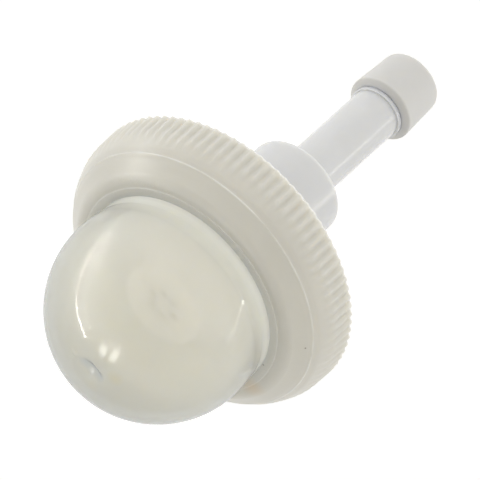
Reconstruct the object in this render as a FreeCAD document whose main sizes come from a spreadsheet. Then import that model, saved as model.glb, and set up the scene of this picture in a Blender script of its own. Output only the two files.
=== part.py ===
import FreeCAD, Part
import math
import os
from types import SimpleNamespace

import Sketcher

# Hand primer pump for a fuel filter head.
# A squeezable bulb is held on a moulded pump body by a knurled collar. The body's hub and stem reach
# down into the filter head, and a soft seal surrounds the tip of the stem.
# Frame: the pump's axis is Z and the bulb points up. The origin is the centre of the collar's rear
# face, which meets the filter head. All lengths are in millimetres, and heights are along Z.

# Driving dimensions: alias, value and meaning.
SIZES = [
    # Hub, stem and spigot of the pump body.
    ("hub_radius", 7.7, "radius of the hub, which fits the filter head"),
    ("hub_length", 18.1, "how far the hub reaches below the collar's rear face"),
    ("hub_round", 0.9, "rounding of the hub's rear shoulder"),
    ("hub_floor", 2.5, "thickness of the hub's end below the ball's seat"),
    ("hub_seat_step", 0.4, "how much wider the hub's top is, where the flap's rings sit"),
    ("hub_seat_margin", 0.5, "how far that wider top reaches below the flap's rings"),
    ("stem_radius", 4.0, "radius of the stem"),
    ("stem_length", 20.1, "length of the stem with its lip"),
    ("stem_root", 0.8, "fillet between the stem and the hub"),
    ("stem_lip_height", 0.3, "how far the stem's lip stands out"),
    ("stem_lip_thick", 0.7, "thickness of that lip"),
    ("spigot_step", 0.7, "how much thinner the spigot is than the stem"),
    ("spigot_length", 8.1, "length of the spigot that carries the tip seal"),
    ("barb_height", 0.4, "how far the spigot's barb stands out"),
    ("barb_length", 1.6, "length of the barb's taper"),
    ("barb_nose", 1.3, "straight end of the spigot beyond the barb"),
    ("bore_radius", 1.9, "radius of the suction bore"),
    # Floor under the bulb, with the outlet ports, the flap and the gasket.
    ("body_flange_thick", 1.5, "thickness of the pump body's flange"),
    ("port_count", 6, "outlet ports through the floor"),
    ("port_radius", 1.3, "radius of an outlet port"),
    ("port_offset", 2.9, "distance of the ports' centres from the hub's wider top"),
    ("flap_overlap", 1.5, "how far the flap reaches past the ports"),
    ("flap_thick", 0.75, "thickness of the outlet flap"),
    ("retainer_width", 1.75, "width of the flap retainer"),
    ("retainer_thick", 0.8, "thickness of the flap retainer"),
    ("gasket_offset", 1.2, "room between the flap and the head gasket"),
    ("gasket_width", 2.6, "width of the head gasket"),
    ("gasket_thick", 1.1, "thickness of the head gasket"),
    ("gasket_groove_depth", 0.5, "depth of the gasket's groove"),
    ("flange_rim", 0.6, "width of the flange outside the gasket"),
    # Inlet valve in the boss and the hub.
    ("ball_radius", 3.2, "radius of the inlet valve's ball"),
    ("ball_clearance", 1.4, "room round the ball in the valve pocket"),
    ("ball_seat_gap", 0.1, "gap between the ball and its cone, square to the cone"),
    ("boss_wall", 1.8, "wall of the valve boss inside the bulb"),
    ("boss_height", 7.4, "height of the boss above the floor"),
    ("boss_root", 1.0, "fillet at the foot of the boss"),
    ("cage_cap_thick", 0.8, "thickness of the valve cage's cap"),
    ("cage_length", 15.4, "length of the cage's skirt"),
    ("cage_wall", 1.2, "wall of that skirt"),
    ("cage_foot_thick", 1.0, "thickness of the cage's spring rest"),
    ("cage_foot_bore", 1.7, "radius of the bore in the spring rest"),
    ("cage_hole_count", 6, "holes through the cage's cap"),
    ("cage_hole_radius", 0.75, "radius of a hole in the cap"),
    ("cage_hole_circle", 2.1, "radius of the circle of those holes"),
    ("spring_radius", 2.45, "mean radius of the inlet spring"),
    ("spring_wire_radius", 0.22, "radius of the spring's wire"),
    ("spring_turns", 6, "turns of the inlet spring"),
    ("spring_gap", 0.08, "gap at each end of the spring"),
    # Bulb.
    ("bulb_wall", 1.6, "wall of the bulb"),
    ("bulb_middle_rise", 5.0, "height of the bulb's widest circle above its neck"),
    ("bulb_flange_width", 2.9, "how far the bulb's flange stands out from its neck"),
    ("bulb_flange_thick", 1.4, "thickness of the bulb's flange"),
    ("neck_root", 1.0, "fillet between the neck and the flange"),
    ("neck_show", 0.2, "how far the neck reaches above the collar's lip"),
    ("dimple_depth", 0.8, "depth of the sunken mark at the top of the bulb"),
    ("dimple_ball_radius", 16.0, "radius of the ball that shapes that mark"),
    # Collar, from its rear face to its lip.
    ("tooth_count", 92, "teeth round the collar"),
    ("tooth_height", 0.42, "depth of the gap between two teeth"),
    ("tooth_draft", 0.15, "how much lower the teeth are at their front ends"),
    ("tooth_rear_z", 0.4, "height of the teeth's rear ends"),
    ("tooth_length", 3.8, "length of a tooth's straight part"),
    ("tooth_runout", 0.95, "length over which the teeth run out"),
    ("gap_floor_width", 0.4, "width of a tooth gap at its floor"),
    ("gap_mouth_width", 0.95, "width of a tooth gap at the tooth tips"),
    ("rear_chamfer", 0.25, "chamfer on the collar's rear edge"),
    ("front_edge_drop", 0.08, "how far the end of the run-out lies inside the gaps' floor"),
    ("shoulder_drop", 0.68, "how far the middle of the shoulder lies inside it"),
    ("shoulder_rise", 1.35, "height of the shoulder's lower half"),
    ("shoulder_round", 4.0, "rounding of the shoulder's middle"),
    ("rim_drop", 1.88, "how far the fine rim line lies inside the gaps' floor"),
    ("rim_rise", 1.45, "height of the shoulder's upper half, up to the rim line"),
    ("crown_rise", 1.8, "height of the crown, from the rim line to the flat ring"),
    ("crown_ring_width", 1.0, "width of the flat ring round the lip"),
    ("lip_height", 0.45, "height of the lip round the opening"),
    ("lip_width", 1.3, "width of that lip"),
    ("mouth_gap", 0.4, "room between the collar's opening and the bulb's neck"),
    ("crown_thick", 1.75, "thickness of the collar over the bulb's flange"),
    ("collar_wall", 3.98, "wall of the collar from its thread to the gaps' floor"),
    ("thread_clearance", 0.4, "room between the collar's thread and the flanges"),
    ("thread_lead", 0.8, "chamfer that leads into the thread"),
    ("thread_stop", 0.1, "how far below the floor the thread ends"),
    ("relief_depth", 0.4, "depth of the hollow above the thread"),
    # Slip washer, and the gaps between pieces.
    ("washer_thick", 0.5, "thickness of the slip washer"),
    ("washer_inset", 1.0, "how far the washer's bore lies outside the collar's opening"),
    ("washer_overhang", 0.1, "how far the washer reaches past the flanges"),
    ("slip_gap", 0.05, "running gap on each side of the washer and above the flap"),
    ("fit_gap", 0.03, "gap between pieces that are pressed or stretched together"),
    # Tip seal.
    ("seal_front_wall", 2.06, "wall of the tip seal at its front edge, over the spigot"),
    ("seal_front_drop", 0.7, "how far that edge lies behind the seal's mouth"),
    ("seal_front_round", 0.35, "rounding of that edge"),
    ("seal_mouth_step", 0.05, "how far the seal's mouth stands out from the stem's lip"),
    ("seal_tail_wall", 1.65, "wall of the tip seal at its rear end, over the spigot"),
    ("seal_tail_round", 0.9, "rounding of the seal's rear edge"),
    ("seal_overhang", 0.6, "how far the seal reaches past the spigot"),
]


class Size:
    """A number together with the sheet expression that gives it.

    Sums and products of sizes keep both, so that a sketch starts in its true shape and afterwards
    follows the sheet.
    """

    def __init__(self, value, text):
        self.value = value
        self.text = text

    def joined(self, other, sign, work):
        if not isinstance(other, Size):
            other = Size(other, str(other))
        return Size(work(self.value, other.value), f"({self.text} {sign} {other.text})")

    def __add__(self, other):
        return self.joined(other, "+", lambda a, b: a + b)

    def __sub__(self, other):
        return self.joined(other, "-", lambda a, b: a - b)

    def __mul__(self, other):
        return self.joined(other, "*", lambda a, b: a * b)

    def __truediv__(self, other):
        return self.joined(other, "/", lambda a, b: a / b)

    def __neg__(self):
        return Size(-self.value, f"(-{self.text})")


def root(square):
    return Size(math.sqrt(square.value), f"sqrt({square.text})")


def leg(slant, other_leg):
    """Third side of a right-angled triangle with this slant side."""
    return root(slant * slant - other_leg * other_leg)


ZERO = Size(0, "0")
ROOT_TWO = Size(math.sqrt(2), "sqrt(2)")
s = SimpleNamespace(**{alias: Size(value, f"Sizes.{alias}") for alias, value, _ in SIZES})

# Radii that follow, from the hub out to the teeth.
pocket_radius = s.ball_radius + s.ball_clearance
boss_radius = pocket_radius + s.boss_wall
skirt_radius = pocket_radius - s.fit_gap
cage_inside = skirt_radius - s.cage_wall
hub_seat_radius = s.hub_radius + s.hub_seat_step
retaining_bore = hub_seat_radius + s.fit_gap
retainer_radius = retaining_bore + s.retainer_width
port_circle_radius = hub_seat_radius + s.port_offset
flap_radius = port_circle_radius + s.port_radius + s.flap_overlap
gasket_inner_radius = flap_radius + s.gasket_offset
gasket_outer_radius = gasket_inner_radius + s.gasket_width
flange_radius = gasket_outer_radius + s.flange_rim
neck_radius = flange_radius - s.bulb_flange_width
bulb_radius = root(neck_radius * neck_radius + s.bulb_middle_rise * s.bulb_middle_rise)
bulb_inside_radius = bulb_radius - s.bulb_wall
neck_bore = leg(bulb_inside_radius, s.bulb_middle_rise)
mouth_radius = neck_radius + s.mouth_gap
lip_radius = mouth_radius + s.lip_width
crown_ring_radius = lip_radius + s.crown_ring_width
washer_bore = mouth_radius + s.washer_inset
washer_radius = flange_radius + s.washer_overhang
thread_radius = flange_radius + s.thread_clearance
relief_radius = thread_radius + s.relief_depth
tooth_root_radius = thread_radius + s.collar_wall
tooth_tip_radius = tooth_root_radius + s.tooth_height
front_edge_radius = tooth_root_radius - s.front_edge_drop
shoulder_radius = tooth_root_radius - s.shoulder_drop
rim_radius = tooth_root_radius - s.rim_drop
stem_lip_radius = s.stem_radius + s.stem_lip_height
spigot_radius = s.stem_radius - s.spigot_step
barb_radius = spigot_radius + s.barb_height
seal_bore = spigot_radius + s.fit_gap
seal_front_radius = spigot_radius + s.seal_front_wall
seal_mouth_radius = stem_lip_radius + s.seal_mouth_step
seal_tail_radius = spigot_radius + s.seal_tail_wall

# Heights that follow, up the collar.
tooth_front_z = s.tooth_rear_z + s.tooth_length
front_edge_z = tooth_front_z + s.tooth_runout
shoulder_z = front_edge_z + s.shoulder_rise
rim_z = shoulder_z + s.rim_rise
crown_ring_z = rim_z + s.crown_rise
lip_z = crown_ring_z + s.lip_height
neck_top_z = lip_z + s.neck_show
bulb_middle_z = neck_top_z + s.bulb_middle_rise
bulb_top_z = bulb_middle_z + bulb_radius

# Heights that follow, down from the collar's inner shoulder, which clamps the flanges.
clamp_z = crown_ring_z - s.crown_thick
washer_top_z = clamp_z - s.slip_gap
washer_foot_z = washer_top_z - s.washer_thick
bulb_flange_top_z = washer_foot_z - s.slip_gap
floor_top_z = bulb_flange_top_z - s.bulb_flange_thick
floor_z = floor_top_z - s.body_flange_thick
groove_z = floor_z + s.gasket_groove_depth
gasket_foot_z = groove_z - s.gasket_thick
flap_top_z = floor_z - s.slip_gap
flap_foot_z = flap_top_z - s.flap_thick
retainer_foot_z = flap_foot_z - s.retainer_thick
hub_seat_z = retainer_foot_z - s.hub_seat_margin
relief_z = floor_z - s.thread_stop
thread_end_z = relief_z - s.relief_depth

# Heights that follow, in the valve and down the stem.
boss_z = floor_top_z + s.boss_height
cage_top_z = boss_z + s.cage_cap_thick
cage_foot_z = boss_z - s.cage_length
cage_rest_z = cage_foot_z + s.cage_foot_thick
hub_end_z = -s.hub_length
seat_edge_z = hub_end_z + s.hub_floor
seat_top_z = seat_edge_z + pocket_radius - s.bore_radius
ball_z = seat_edge_z - s.bore_radius + ROOT_TWO * (s.ball_radius + s.ball_seat_gap)
spring_top_z = cage_foot_z - s.spring_wire_radius - s.spring_gap
spring_foot_z = ball_z + leg(
    s.ball_radius + s.spring_wire_radius + s.spring_gap, s.spring_radius
)
stem_end_z = hub_end_z - s.stem_length
stem_lip_z = stem_end_z + s.stem_lip_thick
spigot_end_z = stem_end_z - s.spigot_length
barb_foot_z = spigot_end_z + s.barb_nose
barb_top_z = barb_foot_z + s.barb_length
seal_front_z = stem_end_z - s.seal_front_drop
seal_end_z = spigot_end_z - s.seal_overhang

doc = FreeCAD.newDocument("HandPrimerPump")
sheet = doc.addObject("Spreadsheet::Sheet", "Sizes")
for row, (alias, value, meaning) in enumerate(SIZES, start=1):
    sheet.set(f"A{row}", alias)
    sheet.set(f"B{row}", str(value))
    sheet.setAlias(f"B{row}", alias)
    sheet.set(f"C{row}", meaning)
doc.recompute()

SAME = 1e-4  # how near an edge's radius and height must come to the ones asked for


def bind(thing, **sizes):
    """Tie properties of a feature to sizes; a double underscore stands for a dot."""
    for name, size in sizes.items():
        thing.setExpression(name.replace("__", "."), size.text)


def new_body(label):
    body = doc.addObject("PartDesign::Body", label)
    body.Label = label
    return body


def new_sketch(body, name, role):
    """Empty sketch on one of the body's own origin planes."""
    sketch = body.newObject("Sketcher::SketchObject", f"{body.Label}_{name}")
    plane = next(f for f in body.Origin.OriginFeatures if f.Role == role)
    sketch.AttachmentSupport = [(plane, "")]
    sketch.MapMode = "FlatFace"
    return sketch


def hold(sketch, kind, geometry, point, size):
    """Distance of a point from the origin along X or Y, driven by a size."""
    place = Sketcher.Constraint(kind, -1, 1, geometry, point, size.value)
    index = sketch.addConstraint(place)
    sketch.setExpression(f"Constraints[{index}]", size.text)


def outline(sketch, corners):
    """Closed outline of straight lines through pairs of sizes."""
    points = [FreeCAD.Vector(x.value, y.value, 0) for x, y in corners]
    count = len(points)
    for i in range(count):
        sketch.addGeometry(Part.LineSegment(points[i], points[(i + 1) % count]), False)
    for i in range(count):
        sketch.addConstraint(Sketcher.Constraint("Coincident", i, 2, (i + 1) % count, 1))
    for i, (x, y) in enumerate(corners):
        hold(sketch, "DistanceX", i, 1, x)
        hold(sketch, "DistanceY", i, 1, y)


def turned(body, corners):
    """Solid turned about Z from a half section of (radius, height) corners."""
    sketch = new_sketch(body, "section", "XZ_Plane")
    outline(sketch, corners)
    solid = body.newObject("PartDesign::Revolution", f"{body.Label}_turned")
    solid.Profile = sketch
    solid.ReferenceAxis = (sketch, ["V_Axis"])
    solid.Angle = 360
    doc.recompute()
    return solid


def rounded(body, name, feature, rim, radius):
    """Fillet of the circular edge that lies at a (radius, height) pair."""
    rim_radius, rim_height = rim
    edges = []
    for i, edge in enumerate(feature.Shape.Edges, start=1):
        if not isinstance(edge.Curve, Part.Circle):
            continue
        off_radius = abs(edge.Curve.Radius - rim_radius.value)
        off_height = abs(edge.Curve.Center.z - rim_height.value)
        if off_radius < SAME and off_height < SAME:
            edges.append(f"Edge{i}")
    fillet = body.newObject("PartDesign::Fillet", f"{body.Label}_{name}")
    fillet.Base = (feature, edges)
    bind(fillet, Radius=radius)
    doc.recompute()
    return fillet


def ring_of_cuts(body, name, sketch, length, count):
    """Cut a sketch upwards and repeat the cut round Z."""
    before = body.Tip.Shape.Volume
    cut = body.newObject("PartDesign::Pocket", f"{body.Label}_{name}")
    cut.Profile = sketch
    cut.Reversed = True
    bind(cut, Length=length)
    doc.recompute()
    if cut.Shape.Volume >= before:
        raise RuntimeError(f"{body.Label} {name}: the cut removes nothing")
    ring = body.newObject("PartDesign::PolarPattern", f"{body.Label}_{name}_ring")
    ring.Originals = [cut]
    ring.Axis = (sketch, ["N_Axis"])
    ring.Angle = 360
    bind(ring, Occurrences=count)
    body.Tip = ring
    doc.recompute()


def round_holes(body, name, radius, circle_radius, foot, top, count):
    """Ring of round holes from one height to another."""
    sketch = new_sketch(body, f"{name}_sketch", "XY_Plane")
    bind(sketch, AttachmentOffset__Base__z=foot)
    centre = FreeCAD.Vector(circle_radius.value, 0, 0)
    upward = FreeCAD.Vector(0, 0, 1)
    sketch.addGeometry(Part.Circle(centre, upward, radius.value), False)
    index = sketch.addConstraint(Sketcher.Constraint("Radius", 0, radius.value))
    sketch.setExpression(f"Constraints[{index}]", radius.text)
    sketch.addConstraint(Sketcher.Constraint("PointOnObject", 0, 3, -1))
    hold(sketch, "DistanceX", 0, 3, circle_radius)
    doc.recompute()
    ring_of_cuts(body, name, sketch, top - foot, count)


def ball_form(body, kind, name, radius, height):
    """Ball added to or taken from a body."""
    form = body.newObject(f"PartDesign::{kind}Sphere", f"{body.Label}_{name}")
    bind(form, Radius=radius, Placement__Base__z=height)
    doc.recompute()
    return form


def dome(body, kind, name, radius):
    """Ball about the bulb's middle, cut off flat where the neck starts."""
    form = ball_form(body, kind, name, radius, bulb_middle_z)
    form.setExpression("Angle1", f"-asin({s.bulb_middle_rise.text} / {radius.text})")
    doc.recompute()


def make_collar():
    """Ring nut with axial teeth, a smooth domed front and a threaded hollow rear."""
    body = new_body("collar")
    blank = turned(body, [
        (thread_radius + s.thread_lead, ZERO),
        (tooth_root_radius - s.rear_chamfer, ZERO),
        (tooth_root_radius, s.rear_chamfer),
        (tooth_root_radius, s.tooth_rear_z),
        (tooth_tip_radius, s.tooth_rear_z),
        (tooth_tip_radius - s.tooth_draft, tooth_front_z),
        (front_edge_radius, front_edge_z),
        (shoulder_radius, shoulder_z),
        (rim_radius, rim_z),
        (crown_ring_radius, crown_ring_z),
        (lip_radius, crown_ring_z),
        (lip_radius, lip_z),
        (mouth_radius, lip_z),
        (mouth_radius, clamp_z),
        (relief_radius, clamp_z),
        (relief_radius, relief_z),
        (thread_radius, thread_end_z),
        (thread_radius, s.thread_lead),
    ])
    rounded(body, "shoulder", blank, (shoulder_radius, shoulder_z), s.shoulder_round)
    gap = new_sketch(body, "tooth_gap", "XY_Plane")
    bind(gap, AttachmentOffset__Base__z=s.tooth_rear_z)
    half_floor = s.gap_floor_width / 2
    half_beyond = s.gap_mouth_width - half_floor
    beyond = tooth_tip_radius + s.tooth_height
    outline(gap, [
        (tooth_root_radius, -half_floor),
        (beyond, -half_beyond),
        (beyond, half_beyond),
        (tooth_root_radius, half_floor),
    ])
    ring_of_cuts(body, "teeth", gap, rim_z - s.tooth_rear_z, s.tooth_count)
    return body


def make_bulb():
    """Soft hollow dome with a neck and the flange that the collar clamps."""
    body = new_body("bulb")
    base = turned(body, [
        (neck_bore, floor_top_z),
        (flange_radius, floor_top_z),
        (flange_radius, bulb_flange_top_z),
        (neck_radius, bulb_flange_top_z),
        (neck_radius, neck_top_z),
        (neck_bore, neck_top_z),
    ])
    rounded(body, "neck_root", base, (neck_radius, bulb_flange_top_z), s.neck_root)
    dome(body, "Additive", "outside", bulb_radius)
    dome(body, "Subtractive", "inside", bulb_inside_radius)
    mark_middle_z = bulb_top_z - s.dimple_depth + s.dimple_ball_radius
    ball_form(body, "Subtractive", "dimple", s.dimple_ball_radius, mark_middle_z)
    return body


def make_pump_body():
    """One moulding: flange and floor, valve boss, hub, stem, lip and barbed spigot."""
    body = new_body("pump_body")
    groove_inside = gasket_inner_radius - s.fit_gap
    groove_outside = gasket_outer_radius + s.fit_gap
    solid = turned(body, [
        (s.bore_radius, spigot_end_z),
        (spigot_radius, spigot_end_z),
        (spigot_radius, barb_foot_z),
        (barb_radius, barb_top_z),
        (spigot_radius, barb_top_z),
        (spigot_radius, stem_end_z),
        (stem_lip_radius, stem_end_z),
        (stem_lip_radius, stem_lip_z),
        (s.stem_radius, stem_lip_z),
        (s.stem_radius, hub_end_z),
        (s.hub_radius, hub_end_z),
        (s.hub_radius, hub_seat_z),
        (hub_seat_radius, hub_seat_z),
        (hub_seat_radius, floor_z),
        (groove_inside, floor_z),
        (groove_inside, groove_z),
        (groove_outside, groove_z),
        (groove_outside, floor_z),
        (flange_radius, floor_z),
        (flange_radius, floor_top_z),
        (boss_radius, floor_top_z),
        (boss_radius, boss_z),
        (pocket_radius, boss_z),
        (pocket_radius, seat_top_z),
        (s.bore_radius, seat_edge_z),
    ])
    solid = rounded(body, "hub_round", solid, (s.hub_radius, hub_end_z), s.hub_round)
    solid = rounded(body, "stem_root", solid, (s.stem_radius, hub_end_z), s.stem_root)
    rounded(body, "boss_root", solid, (boss_radius, floor_top_z), s.boss_root)
    circle = port_circle_radius
    round_holes(body, "ports", s.port_radius, circle, floor_z, floor_top_z, s.port_count)
    return body


def make_valve_cage():
    """Plug in the boss with a pierced cap, a skirt and a rest for the inlet spring."""
    body = new_body("valve_cage")
    turned(body, [
        (ZERO, boss_z),
        (cage_inside, boss_z),
        (cage_inside, cage_rest_z),
        (s.cage_foot_bore, cage_rest_z),
        (s.cage_foot_bore, cage_foot_z),
        (skirt_radius, cage_foot_z),
        (skirt_radius, boss_z),
        (boss_radius, boss_z),
        (boss_radius, cage_top_z),
        (ZERO, cage_top_z),
    ])
    circle = s.cage_hole_circle
    count = s.cage_hole_count
    round_holes(body, "cap_holes", s.cage_hole_radius, circle, boss_z, cage_top_z, count)
    return body


def make_inlet_ball():
    """Ball that closes the conical seat at the bottom of the pocket."""
    ball = doc.addObject("Part::Sphere", "inlet_ball")
    bind(ball, Radius=s.ball_radius, Placement__Base__z=ball_z)
    return ball


def make_inlet_spring():
    """Light coil spring between the ball and the cage."""
    coil = doc.addObject("Part::Helix", "spring_path")
    height = spring_top_z - spring_foot_z
    bind(coil, Radius=s.spring_radius, Height=height, Pitch=height / s.spring_turns)
    bind(coil, Placement__Base__z=spring_foot_z)
    wire = doc.addObject("Part::Circle", "spring_wire")
    wire.Placement.Rotation = FreeCAD.Rotation(FreeCAD.Vector(1, 0, 0), 90)
    bind(wire, Radius=s.spring_wire_radius)
    bind(wire, Placement__Base__x=s.spring_radius, Placement__Base__z=spring_foot_z)
    spring = doc.addObject("Part::Sweep", "inlet_spring")
    spring.Sections = [wire]
    spring.Spine = (coil, ["Edge1"])
    spring.Solid = True
    spring.Frenet = True
    return spring


def make_ring(label, inner, outer, foot, top):
    """Plain ring of rectangular section."""
    body = new_body(label)
    turned(body, [(inner, foot), (outer, foot), (outer, top), (inner, top)])
    return body


def make_tip_seal():
    """Soft tapered sleeve, snapped over the spigot's barb."""
    body = new_body("tip_seal")
    barb_edge_z = barb_top_z + s.fit_gap
    solid = turned(body, [
        (seal_bore, seal_end_z),
        (seal_tail_radius, seal_end_z),
        (seal_front_radius, seal_front_z),
        (seal_mouth_radius, stem_end_z),
        (seal_bore, stem_end_z),
        (seal_bore, barb_edge_z),
        (barb_radius + s.fit_gap, barb_edge_z),
        (seal_bore, barb_foot_z),
    ])
    tail = (seal_tail_radius, seal_end_z)
    front = (seal_front_radius, seal_front_z)
    solid = rounded(body, "tail_round", solid, tail, s.seal_tail_round)
    rounded(body, "front_round", solid, front, s.seal_front_round)
    return body


# Every sub-part, in the order in which the pump comes apart.
nodes = [
    make_collar(),
    make_ring("slip_washer", washer_bore, washer_radius, washer_foot_z, washer_top_z),
    make_bulb(),
    make_valve_cage(),
    make_inlet_spring(),
    make_inlet_ball(),
    make_ring("flap_retainer", retaining_bore, retainer_radius, retainer_foot_z, flap_foot_z),
    make_ring("outlet_flap", retaining_bore, flap_radius, flap_foot_z, flap_top_z),
    make_ring("head_gasket", gasket_inner_radius, gasket_outer_radius, gasket_foot_z, groove_z),
    make_tip_seal(),
    make_pump_body(),
]
doc.recompute()

# Nothing is written if a feature failed or a solid is not sound.
for thing in doc.Objects:
    if {"Invalid", "Error"} & set(thing.State):
        raise RuntimeError(f"{thing.Name} failed: {thing.State}")
for node in nodes:
    if node.Shape.isNull() or not node.Shape.isValid() or not node.Shape.Solids:
        raise RuntimeError(f"{node.Label} is not a sound solid")

os.makedirs("parts", exist_ok=True)
for node in nodes:
    node.Shape.exportStep(f"parts/{node.Label}.step")
    print(f"{node.Label}: {len(node.Shape.Solids)} solid, {node.Shape.Volume:.1f} mm3")
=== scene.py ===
import math

import bmesh
import bpy
from bpy.props import FloatProperty, FloatVectorProperty, IntProperty, PointerProperty
from mathutils import Matrix, Vector
from mathutils.geometry import intersect_line_sphere


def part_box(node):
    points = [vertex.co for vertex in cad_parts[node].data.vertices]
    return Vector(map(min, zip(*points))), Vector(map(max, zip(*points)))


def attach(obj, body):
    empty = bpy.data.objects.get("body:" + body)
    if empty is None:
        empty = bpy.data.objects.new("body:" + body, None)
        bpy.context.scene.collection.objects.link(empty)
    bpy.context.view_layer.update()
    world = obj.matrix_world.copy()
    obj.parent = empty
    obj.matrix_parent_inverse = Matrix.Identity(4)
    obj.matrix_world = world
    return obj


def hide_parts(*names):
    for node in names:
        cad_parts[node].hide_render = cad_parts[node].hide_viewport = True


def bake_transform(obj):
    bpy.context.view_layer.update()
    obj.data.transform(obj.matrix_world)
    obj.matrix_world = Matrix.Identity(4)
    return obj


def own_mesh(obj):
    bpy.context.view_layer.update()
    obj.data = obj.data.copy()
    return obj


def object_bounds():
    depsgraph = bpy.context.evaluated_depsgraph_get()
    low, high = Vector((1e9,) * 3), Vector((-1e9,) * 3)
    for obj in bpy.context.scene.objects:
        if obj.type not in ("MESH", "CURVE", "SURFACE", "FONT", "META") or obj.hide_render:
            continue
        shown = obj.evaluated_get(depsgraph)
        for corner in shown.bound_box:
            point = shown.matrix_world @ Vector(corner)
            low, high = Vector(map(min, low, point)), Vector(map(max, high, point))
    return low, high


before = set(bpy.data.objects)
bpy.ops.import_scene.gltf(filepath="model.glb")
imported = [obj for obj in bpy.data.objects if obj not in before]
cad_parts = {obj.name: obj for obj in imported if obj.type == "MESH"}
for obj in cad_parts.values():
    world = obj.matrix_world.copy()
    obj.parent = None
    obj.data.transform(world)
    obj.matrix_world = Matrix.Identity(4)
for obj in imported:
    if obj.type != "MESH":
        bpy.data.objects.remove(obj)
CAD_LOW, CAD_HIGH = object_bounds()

bl_info = {
    "name": "Hand Primer Pump",
    "version": (1, 0, 0),
    "blender": (4, 5, 0),
    "location": "3D View > Sidebar > Primer Pump",
    "description": "Builds the visual model of a hand primer pump and the studio it stands in",
    "category": "Mesh",
}

MM = 0.001
IMAGE_SIZE = 480
SENSOR_WIDTH = 36.0

# Where the photograph shows the middle of the circle of the teeth's rear ends, in pixels.
PHOTO_RING_X = 221.0
PHOTO_RING_Y = 252.94

# Where the photograph shows lamps mirrored in the bulb, in pixels.
UPPER_STRIP = ((109.5, 234.4), (80.0, 279.4))
LOWER_STRIP = ((77.0, 292.5), (85.4, 336.3))
LEFT_PANE = ((105.6, 345.3), (101.0, 354.7))
RIGHT_PANE = ((116.9, 350.6), (111.2, 361.0))
SIDE_GLEAM = ((243.2, 300.0), (242.4, 306.5))
SIDE_STREAK = ((241.0, 306.0), (227.5, 341.0))

# Soft round lamps that light the room: place and size in metres, watts.
WINDOW_PLACE = (0.72, 0.10, 0.30)
WINDOW_TINT = (0.97, 0.985, 1.0)
SIDE_PLACE = (-0.36, -0.68, -0.05)
SIDE_TINT = (1.0, 0.985, 0.95)
SIDE_POWER = 0.55
ROOM_LAMP_SIZE = 0.5

# Rows of diodes mirrored in the bulb. The half length is a part of the step in the row.
UPPER_DIODES = 12
LOWER_DIODES = 13
DIODE_DISTANCE = 0.28
DIODE_WIDTH = 0.005
DIODE_HALF_LENGTH = 0.15
DIODE_POWER = 0.009

# Other lamps mirrored in the bulb: name, ends in pixels, distance and width in metres, watts.
BULB_GLEAMS = (
    ("left_pane", LEFT_PANE, 0.5, 0.055, 0.16),
    ("right_pane", RIGHT_PANE, 0.5, 0.049, 0.16),
    ("side_gleam", SIDE_GLEAM, 0.12, 0.006, 0.002),
    ("side_streak", SIDE_STREAK, 0.12, 0.004, 0.003),
)

# Lamps mirrored in the stem and in the collar: places and width in metres, watts.
STEM_GLEAM_MIDDLE = Vector((-0.046, -0.022, -0.064))
STEM_GLEAM_REACH = Vector((0, 0, 0.02))
STEM_GLEAM_WIDTH = 0.004
STEM_GLEAM_POWER = 0.003
COLLAR_SHINE_ENDS = (Vector((0.44, 0.115, 0.27)), Vector((0.39, 0.165, 0.27)))
COLLAR_SHINE_WIDTH = 0.06
COLLAR_SHINE_POWER = 0.3
GLOSS_TINT = (1.0, 0.98, 0.92)

# Spots of dirt and stains, and on the bulb some spots of painted shade: middle and radius in
# millimetres, colour.
SPOT_SOFTNESS = 0.8
COLLAR_DIRT = (
    ((-15.7, -2.8, 10.1), 0.22, (0.16, 0.13, 0.09)),
    ((-17.85, -10.05, 8.15), 0.18, (0.25, 0.21, 0.16)),
    ((-17.0, 3.1, 9.9), 2.4, (0.70, 0.63, 0.52)),
)
BULB_STAINS_AND_GROOVE_SHADE = (
    ((0.0, 0.0, 31.0), 4.6, (0.95, 0.90, 0.78)),
    ((-3.0, -3.0, 30.6), 1.5, (0.95, 0.85, 0.64)),
    ((-1.6, 1.8, 31.2), 1.3, (0.95, 0.86, 0.70)),
    # The last three spots are grey-blue painted shade along the groove of the mark.
    ((1.2, -0.5, 31.0), 1.3, (0.76, 0.77, 0.78)),
    ((0.0, -0.6, 30.9), 1.5, (0.70, 0.72, 0.75)),
    ((-1.2, -0.7, 30.9), 1.3, (0.70, 0.72, 0.75)),
)

# Groove, ridge and nick in the bulb's mark: middle, half length, half width and height in
# millimetres.
MARK_SWELLINGS = (
    ((0.0, -0.6), 2.8, 0.75, -0.34),
    ((-0.3, -1.95), 1.7, 0.17, 0.16),
    ((3.3, -0.3), 0.8, 0.30, 0.14),
)


def length(name, description, millimetres):
    return FloatProperty(
        name=name, description=description, default=millimetres * MM, unit="LENGTH", precision=5
    )


def angle(name, description, degrees):
    return FloatProperty(
        name=name, description=description, default=math.radians(degrees), subtype="ANGLE"
    )


def share(name, description, value):
    return FloatProperty(
        name=name, description=description, default=value, min=0.0, max=1.0, subtype="FACTOR"
    )


def number(name, description, value):
    return FloatProperty(name=name, description=description, default=value)


def colour(name, description, value):
    return FloatVectorProperty(
        name=name,
        description=description,
        default=value,
        size=3,
        min=0.0,
        max=1.0,
        subtype="COLOR",
    )


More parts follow.
